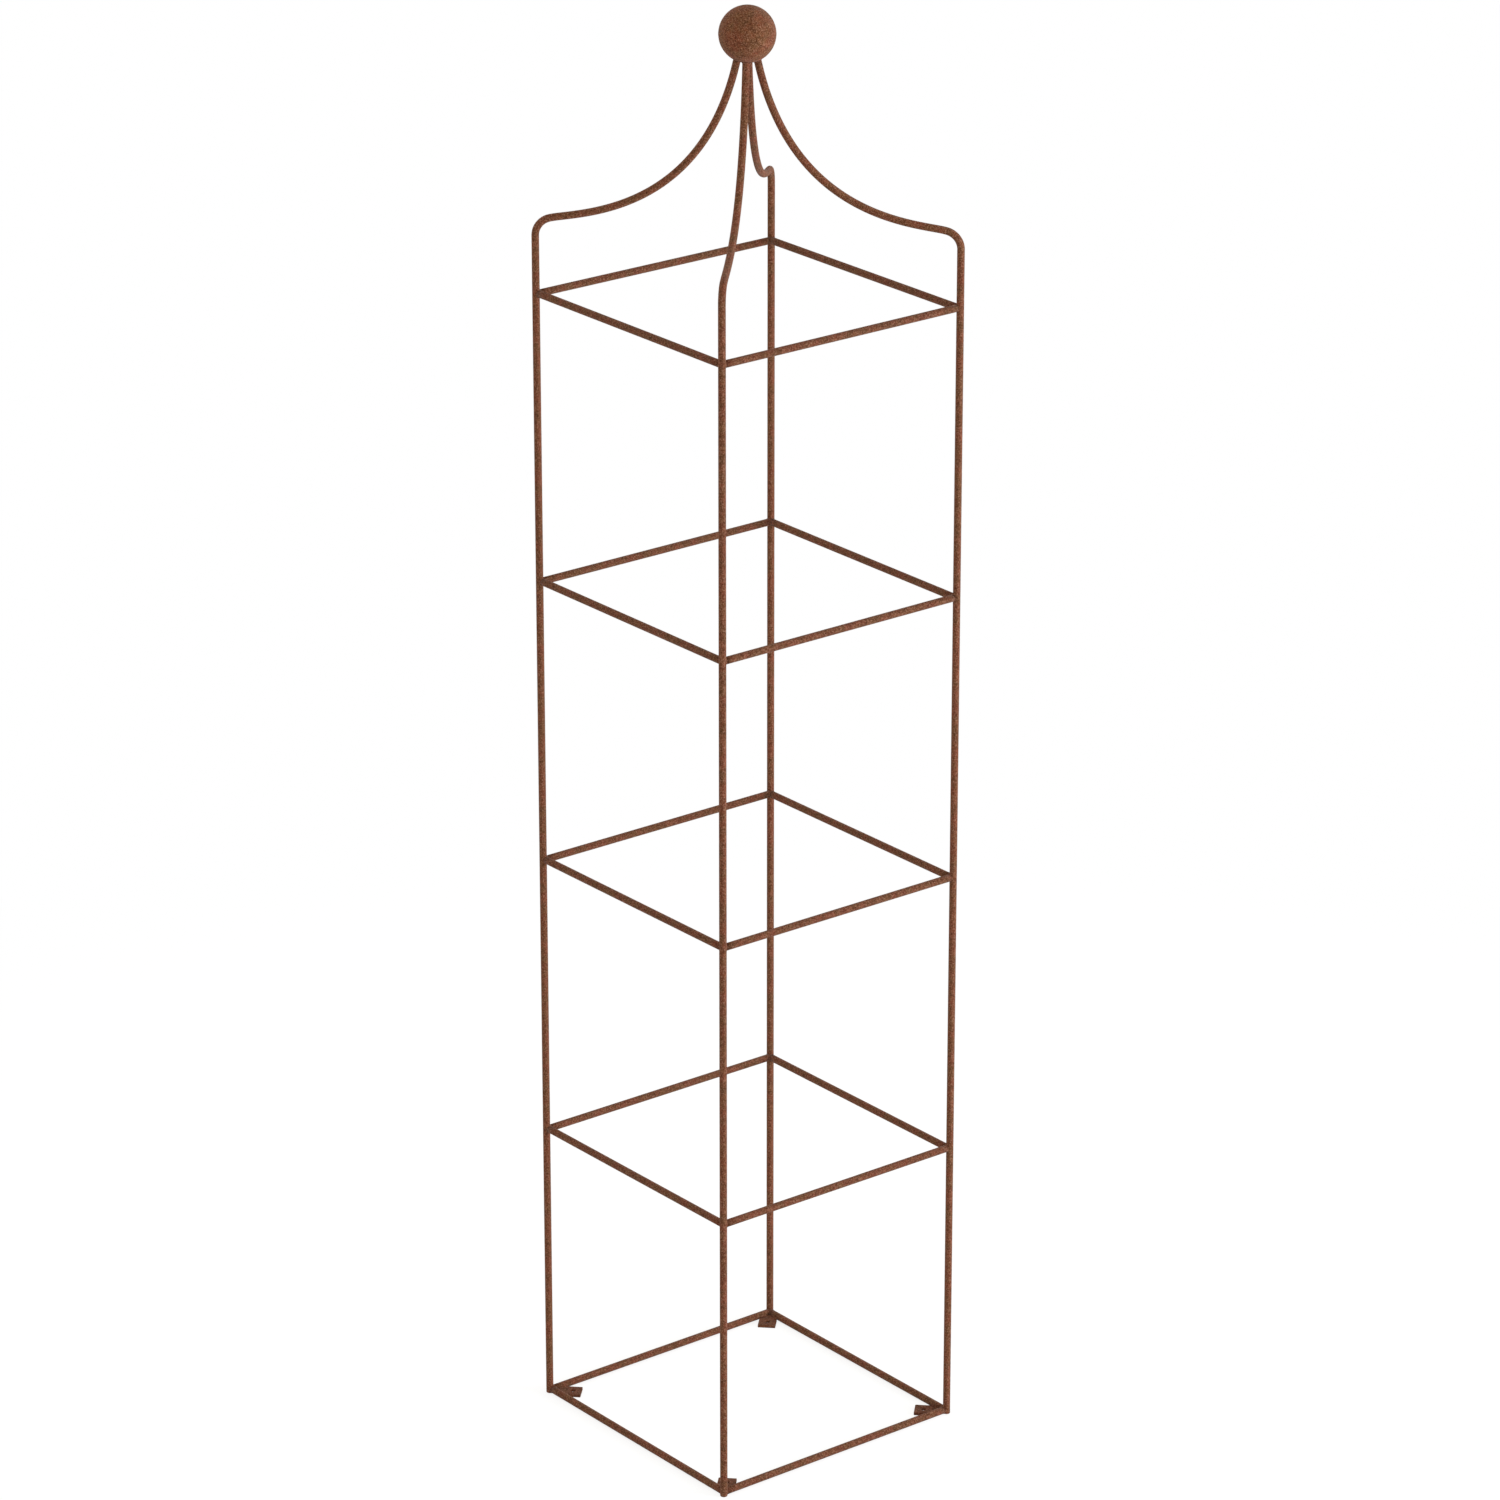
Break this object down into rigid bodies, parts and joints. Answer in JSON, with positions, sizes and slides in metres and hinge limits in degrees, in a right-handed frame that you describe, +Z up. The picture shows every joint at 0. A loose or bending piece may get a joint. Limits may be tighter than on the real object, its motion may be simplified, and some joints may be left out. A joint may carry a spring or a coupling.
{
  "type": "garden obelisk",
  "caption": "Tall square garden obelisk of welded round steel bar for climbing plants, with ring bars, curved crown arms, a ball finial and drilled fixing tabs.",
  "frame": {"origin": "middle of the square base, on the ground plane that the feet of the uprights, the bottom bars and the tabs touch", "axes": "+Z up the middle axis through the ball; +X and +Y square to the sides; the front corner is towards -X and -Y"},
  "size_m": [0.4038, 0.4038, 2],
  "materials": {
    "bar": "matte",
    "tab": "matte",
    "finial": "matte"
  },
  "bodies": {
    "root": {"upright_back": "bar", "upright_left": "bar", "upright_front": "bar", "upright_right": "bar", "ring_1_bar_back_right": "bar", "ring_1_bar_back_left": "bar", "ring_1_bar_front_left": "bar", "ring_1_bar_front_right": "bar", "ring_2_bar_back_right": "bar", "ring_2_bar_back_left": "bar", "ring_2_bar_front_left": "bar", "ring_2_bar_front_right": "bar", "ring_3_bar_back_right": "bar", "ring_3_bar_back_left": "bar", "ring_3_bar_front_left": "bar", "ring_3_bar_front_right": "bar", "ring_4_bar_back_right": "bar", "ring_4_bar_back_left": "bar", "ring_4_bar_front_left": "bar", "ring_4_bar_front_right": "bar", "ring_5_bar_back_right": "bar", "ring_5_bar_back_left": "bar", "ring_5_bar_front_left": "bar", "ring_5_bar_front_right": "bar", "fixing_tab_back": "tab", "fixing_tab_left": "tab", "fixing_tab_front": "tab", "fixing_tab_right": "tab", "finial_upper_shell": "finial", "finial_lower_shell": "finial"}
  },
  "joints": []
}
